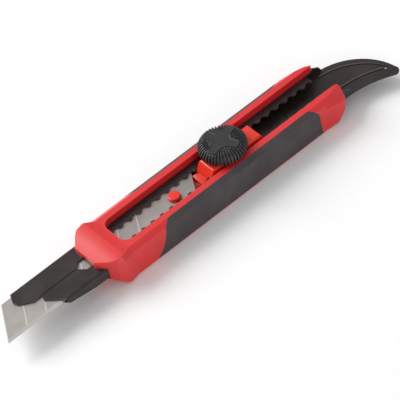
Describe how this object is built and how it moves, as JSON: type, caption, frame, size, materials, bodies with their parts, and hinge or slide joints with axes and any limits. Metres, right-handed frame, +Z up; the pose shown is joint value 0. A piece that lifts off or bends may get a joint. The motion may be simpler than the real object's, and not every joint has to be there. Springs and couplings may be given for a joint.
{
  "type": "snap-off utility knife",
  "caption": "Snap-off utility knife with a red moulded body, soft side grips, a steel blade channel ending in a hooked tail, and a screw-lock wheel on its blade slider.",
  "frame": {"origin": "middle of the flat back face that the knife lies on, halfway between the mouth of the body and the ends of its rear prongs", "axes": "+X forward to the blade's tip, +Y to the side of the cutting edge, +Z up from the back face to the lock wheel"},
  "size_m": [0.2056, 0.031, 0.0222],
  "materials": {
    "body_red": "moulded ABS, satin gloss red",
    "slider_red": "moulded nylon, glossy orange-red",
    "grip_rubber": "charcoal soft-touch rubber, matt",
    "channel_steel": "folded steel with a black-brown satin coat",
    "blade_steel": "hardened carbon steel with a ground edge",
    "screw_steel": "zinc-plated steel",
    "spring_steel": "bright spring steel",
    "wheel_black": "moulded nylon, near black, fine texture",
    "cap_black": "moulded nylon, near black, fine texture",
    "insert_brass": "turned brass"
  },
  "bodies": {
    "handle": {"body_frame": "body_red", "back_cover": "body_red", "cover_screws": "screw_steel", "grip_left": "grip_rubber", "grip_right": "grip_rubber", "blade_channel": "channel_steel", "channel_rivets": "channel_steel"},
    "slider": {"slider": "slider_red", "blade": "blade_steel", "detent_spring": "spring_steel", "wheel_washer": "spring_steel"},
    "clamp": {"clamp_plate": "screw_steel", "clamp_bolt": "screw_steel"},
    "wheel": {"lock_wheel": "wheel_black", "wheel_insert": "insert_brass", "wheel_cap": "cap_black"}
  },
  "joints": [
    {"name": "slider_travel", "type": "slide", "parent": "handle", "child": "slider", "axis": [1, 0, 0], "range_m": [-0.034, 0.044]},
    {"name": "wheel_turn", "type": "hinge", "parent": "slider", "child": "wheel", "pos_m": [-0.00925, 0.0004, 0.019], "axis": [0, 0, 1], "range_deg": [0, 270]},
    {"name": "clamp_drop", "type": "slide", "parent": "slider", "child": "clamp", "axis": [0, 0, -1], "range_m": [0, 0.0006]}
  ],
  "couplings": [
    {"joint": "wheel_turn", "follows": "clamp_drop", "rad_per_m": 7853.9}
  ]
}
